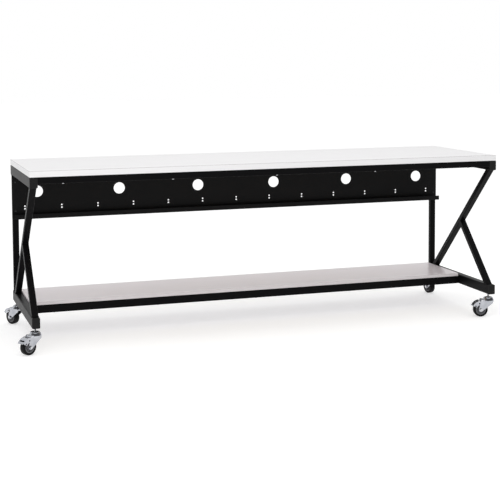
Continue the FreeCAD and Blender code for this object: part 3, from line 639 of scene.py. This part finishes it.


# ---- Shelf -------------------------------------------------------------------------
# A board with a pale pinkish grey laminate, faintly streaked along its length, and a
# lighter band along its front and rear edges. Its paleness is partly painted light, set
# above the laminate's own colour to make up for the shade under the worktop.
STREAKS = (2.2, 60.0, 60.0)
STREAK_SHARE = 0.6
shelf_laminate, shader, place = start_finish("shelf_laminate")
stretched = place.node("ShaderNodeMapping", {}, {"Vector": place, "Scale": STREAKS})
streak = noise(stretched, scale=1.0, detail=6.0)
patch = noise(place, scale=3.0)
mottle = STREAK_SHARE * streak + (1 - STREAK_SHARE) * patch
# Both colours are lighter than the laminate's own: painted light for the shade under the worktop.
set_surface(shader, {
    "Base Color": blend_colours(mottle, (0.845, 0.785, 0.825, 1), (0.95, 0.895, 0.935, 1)),
    "Roughness": 0.24 + 0.12 * streak,
    "Specular IOR Level": 0.5,
    "Normal": raised(streak, depth=0.00003),
})
give(shelf_laminate, "shelf_board")

shelf_edge, shader, place = start_finish("shelf_edge")
set_surface(shader, {
    "Base Color": blend_colours(
        noise(place, scale=20.0), (0.78, 0.74, 0.75, 1), (0.72, 0.69, 0.70, 1)
    ),
    "Roughness": 0.36 + 0.08 * noise(place, scale=40.0),
    "Normal": raised(noise(place, scale=2200.0, detail=1.0), depth=0.00003),
})
give(shelf_edge, "shelf_edge_band")


# ---- Casters -----------------------------------------------------------------------
# Threaded stem casters: a chrome fork with a domed ball race, a grey moulded hub and
# rubber tyre, and a chrome brake hood that hinges on the fork over the wheel.
stem_zinc = plated(
    "caster_zinc",
    bright=(0.72, 0.73, 0.75, 1),
    dull=(0.58, 0.59, 0.62, 1),
    roughness=0.16,
)
# A near-black seal finish, which also serves as painted shade: the race cover's black stands in for
# the shade inside the dome's mouth.
seal_and_painted_shade_black = plated(
    "caster_seal_and_painted_shade",
    bright=(0.010, 0.010, 0.011, 1),
    dull=(0.018, 0.018, 0.019, 1),
    roughness=0.34,
    metal=0.2,
)
ball_steel = plated(
    "bearing_steel",
    bright=(0.6, 0.6, 0.62, 1),
    dull=(0.5, 0.5, 0.52, 1),
    roughness=0.1,
)

chrome, shader, place = start_finish("caster_chrome")
# Here cloud drives the colour from pale chrome down to a darker blue-grey; the dark blue-grey patches
# are painted reflection of dark surroundings.
cloud = noise(place, scale=30.0, detail=1.0)
set_surface(shader, {
    "Base Color": blend_colours(cloud, (0.35, 0.365, 0.405, 1), (0.56, 0.57, 0.60, 1)),
    "Metallic": 1.0,
    "Roughness": 0.05 + 0.06 * cloud,
    "Normal": raised(noise(place, scale=70.0, detail=1.0), depth=0.00090),
})

hub_plastic, shader, place = start_finish("wheel_hub")
set_surface(shader, {
    "Base Color": blend_colours(
        noise(place, scale=60.0), (0.13, 0.13, 0.14, 1), (0.19, 0.19, 0.20, 1)
    ),
    "Roughness": 0.42 + 0.1 * noise(place, scale=90.0),
    "Specular IOR Level": 0.3,
    "Normal": raised(noise(place, scale=1800.0, detail=1.0), depth=0.00004),
})

rubber, shader, place = start_finish("wheel_tyre")
scuff = noise(place, scale=120.0, detail=4.0)
set_surface(shader, {
    "Base Color": blend_colours(scuff, (0.0045, 0.0045, 0.005, 1), (0.010, 0.010, 0.0105, 1)),
    "Roughness": 0.34 + 0.18 * scuff,
    "Specular IOR Level": 0.09,
    "Normal": raised(noise(place, scale=1400.0, detail=2.0), depth=0.00006),
})

STEM_RADIUS = 0.005
STEM_PITCH = 0.0015
STEM_GROOVE = 0.0008
STEM_TIP = 0.0012
TIP_FOOT_RADIUS = 0.0045
TIP_RADIUS = 0.0036
STEM_SIDES = 32
RIVET_RADIUS = 0.0085
RIVET_HEIGHT = 0.004
RIVET_CROWN_RADIUS = 0.00595
RIVET_ROUND_RADIUS = 0.00799
RIVET_ROUND_START = 0.0012
RIVET_ROUND_END = 0.0024


def stem_rings(bottom, seat, top):
    """Rings of the stem from its riveted end, past its plain shank to its threaded tip."""
    thread_top = top - STEM_TIP
    return [
        (bottom, RIVET_CROWN_RADIUS),
        (bottom + RIVET_ROUND_START, RIVET_ROUND_RADIUS),
        (bottom + RIVET_ROUND_END, RIVET_RADIUS),
        (bottom + RIVET_HEIGHT, RIVET_RADIUS),
        (bottom + RIVET_HEIGHT, STEM_RADIUS),
        (seat, STEM_RADIUS),
    ] + thread_rings(seat, thread_top, STEM_RADIUS, STEM_PITCH, STEM_GROOVE) + [
        (thread_top, TIP_FOOT_RADIUS),
        (top, TIP_RADIUS),
    ]


COVER_RADIUS = 0.0155
COVER_THICKNESS = 0.003
COVER_EDGE = 0.0006
COVER_FOOT_RADIUS = 0.01488
COVER_TOP_RADIUS = 0.014725
COVER_DISH_RADIUS = 0.0124
COVER_DISH_FLOOR_RADIUS = 0.01085
DOME_LIP = 0.00425


def cover_rings(bottom, top):
    """Rings of the black race cover, dished a little round the stem. Its black is partly a seal's own
    colour and partly painted shade for the dark inside of the dome's mouth.
    """
    return [
        (bottom, COVER_FOOT_RADIUS),
        (bottom + COVER_EDGE, COVER_RADIUS),
        (top - COVER_EDGE, COVER_RADIUS),
        (top, COVER_TOP_RADIUS),
        (top, COVER_DISH_RADIUS),
        (top - COVER_EDGE, COVER_DISH_FLOOR_RADIUS),
    ]


TYRE_INNER = 0.02705
TYRE_HALF_WIDTH = 0.015
TYRE_GROOVE = 0.0004
TYRE_SHOULDER = 0.005
TYRE_SIDES = 96
SHOULDER_STEPS = 6
# Where the groove in the side wall starts, is full depth, rises again and ends, as
# shares of the wall's height.
SIDE_GROOVE = (0.35, 0.42, 0.58, 0.65)


def tyre_rings(outer):
    """One side of the tyre's section, from its bore over the side wall to its tread."""
    inner = TYRE_INNER
    half = TYRE_HALF_WIDTH
    wall = outer - TYRE_SHOULDER
    start, deep, rising, end = [inner + share * (wall - inner) for share in SIDE_GROOVE]
    rings = [
        (half - TYRE_GROOVE, inner),
        (half, inner + TYRE_GROOVE),
        (half, start),
        (half - TYRE_GROOVE, deep),
        (half - TYRE_GROOVE, rising),
        (half, end),
    ]
    for step in range(SHOULDER_STEPS + 1):
        lean = math.pi / 2 * step / SHOULDER_STEPS
        rings.append((
            half - TYRE_SHOULDER * (1 - math.cos(lean)), wall + TYRE_SHOULDER * math.sin(lean)
        ))
    return rings + [(TYRE_GROOVE, outer), (0.0, outer - TYRE_GROOVE / 2)]


def turned_ring(rings, sides):
    """Points and faces of a ring from the closed outline of its section, with no ends."""
    points, faces = turned(rings, sides)
    wall_faces = faces[2:]
    last = (len(rings) - 1) * sides
    for step in range(sides):
        beside = (step + 1) % sides
        wall_faces.append((last + step, last + beside, beside, step))
    return points, wall_faces


RIB_COUNT = 8
RIB_HALF_THICKNESS = 0.001
RIB_ROOT_FLARE = 1.3
RIB_RISE = 0.0075
RIB_TAPER = 0.7
RIB_THINNING = 0.8
WEB_HALF = 0.004
WEB_OVERLAP = 0.9
RIM_REACH = 0.0232
BOSS_RADIUS = 0.0108


def rib(side):
    """A tapered web on one side of the hub, from its boss to its rim."""
    at_boss = (BOSS_RADIUS, RIB_RISE, RIB_HALF_THICKNESS)
    at_rim = (RIM_REACH, RIB_TAPER * RIB_RISE, RIB_THINNING * RIB_HALF_THICKNESS)
    points = []
    for reach, rise, half in (at_boss, at_rim):
        for y in (-half, half):
            points.append(Vector((reach, RIB_ROOT_FLARE * y, side * WEB_OVERLAP * WEB_HALF)))
            points.append(Vector((reach, y, side * (WEB_HALF + rise))))
    faces = [(0, 1, 3, 2), (4, 6, 7, 5), (0, 4, 5, 1), (2, 3, 7, 6), (1, 5, 7, 3), (0, 2, 6, 4)]
    if side < 0:
        faces = [tuple(reversed(face)) for face in faces]
    return points, faces


CHROME_EDGE = 0.0004
TURNED_EDGE = 0.0003
joints = {joint["name"]: joint for joint in frame["joints"]}
for corner in ("front_left", "front_right", "rear_left", "rear_right"):
    start = corner + "_caster_"
    swivel = corner + "_swivel"
    wheel = corner + "_wheel"

    low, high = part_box(start + "stem")
    dome_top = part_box(start + "fork")[1].z
    seat = dome_top - DOME_LIP
    upright = Matrix.Translation(((low.x + high.x) / 2, (low.y + high.y) / 2, 0))
    stem = turned(stem_rings(low.z, seat, high.z), STEM_SIDES)
    stem_piece = new_piece(
        corner + "_threaded_stem", meshed(*repeated(stem, [upright])), stem_zinc, "table"
    )
    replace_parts(stem_piece, start + "stem")
    # A black disc under the dome's mouth, partly a seal and partly painted shade for the dark inside
    # of the race.
    cover = turned(cover_rings(seat - COVER_THICKNESS, seat), TYRE_SIDES)
    new_piece(
        corner + "_race_cover", meshed(*repeated(cover, [upright])), seal_and_painted_shade_black, "table"
    )

    for node, name, edge, finish, body, slot in (
        ("fork", "_pressed_fork", CHROME_EDGE, chrome, swivel, "caster_chrome"),
        ("pedal", "_brake_hood", CHROME_EDGE, chrome, corner + "_brake", "caster_chrome"),
        ("axle", "_axle_bolt", TURNED_EDGE, stem_zinc, swivel, "caster_zinc"),
        ("pedal_pin", "_hinge_pin", TURNED_EDGE, stem_zinc, swivel, "caster_zinc"),
        ("hub", "_wheel_centre", TURNED_EDGE, hub_plastic, wheel, "wheel_hub"),
    ):
        mesh = softened(start + node, edge)
        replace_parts(new_piece(corner + name, mesh, finish, body), start + node)
    give(ball_steel, start + "balls")

    roll = joints[corner + "_wheel_roll"]
    turn = UP.rotation_difference(Vector(roll["axis"])).to_matrix().to_4x4()
    on_axle = Matrix.Translation(roll["pos_m"]) @ turn
    low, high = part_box(start + "tyre")
    half_section = tyre_rings((high.z - low.z) / 2)
    section = [(-height, reach) for height, reach in half_section]
    section += [(height, reach) for height, reach in reversed(half_section[:-1])]
    tyre = repeated(turned_ring(section, TYRE_SIDES), [on_axle])
    tyre_piece = new_piece(corner + "_moulded_tyre", meshed(*tyre), rubber, wheel)
    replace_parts(tyre_piece, start + "tyre")

    spokes = []
    for step in range(RIB_COUNT):
        spokes.append(on_axle @ Matrix.Rotation(2 * math.pi * step / RIB_COUNT, 4, "Z"))
    for side, name in ((1, "_hub_ribs_out"), (-1, "_hub_ribs_in")):
        ribs = repeated(rib(side), spokes)
        new_piece(corner + name, meshed(*ribs), hub_plastic, wheel)


# ---- Studio ------------------------------------------------------------------------
# A plain white floor in a white room, with a large soft lamp over the table and a
# smaller one in front. Background and floor show white, and the floor keeps the shadow.
FLOOR_REACH = 30.0
FLOOR_DROP = 0.0003
FLOOR_GLOW = 0.45
floor_corners = []
for x, y in ((-1, -1), (1, -1), (1, 1), (-1, 1)):
    floor_corners.append((x * FLOOR_REACH, y * FLOOR_REACH, -FLOOR_DROP))
floor_mesh = bpy.data.meshes.new("floor")
floor_mesh.from_pydata(floor_corners, [], [(0, 1, 2, 3)])
floor = bpy.data.objects.new("floor", floor_mesh)
bpy.context.scene.collection.objects.link(floor)


def rays_in(tree):
    """One for rays that see a surface straight or through glass, and one for gloss."""
    path = tree.nodes.new("ShaderNodeLightPath")
    straight = Wire(path.outputs["Is Camera Ray"])
    glass = Wire(path.outputs["Is Transmission Ray"])
    return straight.math("MAXIMUM", straight, glass), Wire(path.outputs["Is Glossy Ray"])


floor_paint, shader, place = start_finish("floor_paint")
seen, gloss = rays_in(floor_paint.node_tree)
set_surface(shader, {
    "Base Color": (0.82, 0.82, 0.82, 1),
    "Roughness": 0.9,
    "Specular IOR Level": 0.1,
    "Emission Color": (1, 1, 1, 1),
    "Emission Strength": FLOOR_GLOW * seen.math("MAXIMUM", seen, gloss),
})
floor_mesh.materials.append(floor_paint)

# Gloss shows a dim studio on the camera's side, which brightens to the white backdrop,
# and a white ceiling light.
ROOM_LIGHT = 0.74
STUDIO_STOPS = (
    (0.0, (0.10, 0.10, 0.11, 1)),
    (0.40, (0.14, 0.14, 0.15, 1)),
    (0.56, (0.50, 0.50, 0.51, 1)),
    (0.66, (1, 1, 1, 1)),
)
CEILING_STOPS = ((0.66, (0, 0, 0, 1)), (0.78, (1, 1, 1, 1)))
room = bpy.data.worlds.new("room")
room.use_nodes = True
bpy.context.scene.world = room
backdrop = room.node_tree.nodes["Background"]
backdrop.inputs["Color"].default_value = (1, 1, 1, 1)
seen, gloss = rays_in(room.node_tree)
direction = Wire(room.node_tree.nodes.new("ShaderNodeTexCoord").outputs["Generated"])
depth = direction.node("ShaderNodeSeparateXYZ", {}, {"Vector": direction}, output=1)
height = direction.node("ShaderNodeSeparateXYZ", {}, {"Vector": direction}, output=2)
back_wall = depth.node("ShaderNodeValToRGB", {"stops": STUDIO_STOPS}, {"Fac": 0.5 + 0.5 * depth})
ceiling = height.node("ShaderNodeValToRGB", {"stops": CEILING_STOPS}, {"Fac": height})
studio = back_wall.math("MAXIMUM", back_wall, ceiling)
room_strength = ROOM_LIGHT + (1 - ROOM_LIGHT) * seen + gloss * (studio - ROOM_LIGHT)
join(backdrop.inputs["Strength"], room_strength)


def soft_lamp(name, place, target, width, depth, watts):
    """A rectangular soft box that points at a target, and shows in no reflection."""
    light = bpy.data.lights.new(name, "AREA")
    light.shape = "RECTANGLE"
    light.size = width
    light.size_y = depth
    light.energy = watts
    lamp = bpy.data.objects.new(name, light)
    bpy.context.scene.collection.objects.link(lamp)
    lamp.location = place
    lamp.rotation_mode = "QUATERNION"
    lamp.rotation_quaternion = (Vector(target) - Vector(place)).to_track_quat("-Z", "Y")
    lamp.visible_camera = False
    lamp.visible_glossy = False


soft_lamp(
    "top_soft_box", place=(-0.1, -0.8, 3.6), target=(0.0, 0.0, 0.8), width=4.5, depth=3.0, watts=28.0
)
soft_lamp(
    "front_soft_box", place=(-2.4, -4.4, 1.5), target=(0.0, 0.0, 0.5), width=3.0, depth=2.0, watts=48.0
)

CAMERA_PLACE = Vector((-1.9714, -5.9146, 1.3968))
CAMERA_TARGET = Vector((-0.1019, -0.2291, 0.9713))
CAMERA_ROLL = -0.0054
CAMERA_SENSOR = 36.0
CAMERA_LENS = 86.23
CAMERA_SHIFT = -0.22
CAMERA_SEES_TO = 100.0
camera_data = bpy.data.cameras.new("camera")
camera_data.sensor_width = CAMERA_SENSOR
camera_data.lens = CAMERA_LENS
camera_data.shift_y = CAMERA_SHIFT
camera_data.clip_end = CAMERA_SEES_TO
camera = bpy.data.objects.new("camera", camera_data)
bpy.context.scene.collection.objects.link(camera)
camera.location = CAMERA_PLACE
camera.rotation_mode = "QUATERNION"
aim = (CAMERA_TARGET - CAMERA_PLACE).to_track_quat("-Z", "Y")
camera.rotation_quaternion = aim @ Quaternion((0, 0, 1), CAMERA_ROLL)
bpy.context.scene.camera = camera
bpy.context.scene.view_settings.view_transform = "Standard"
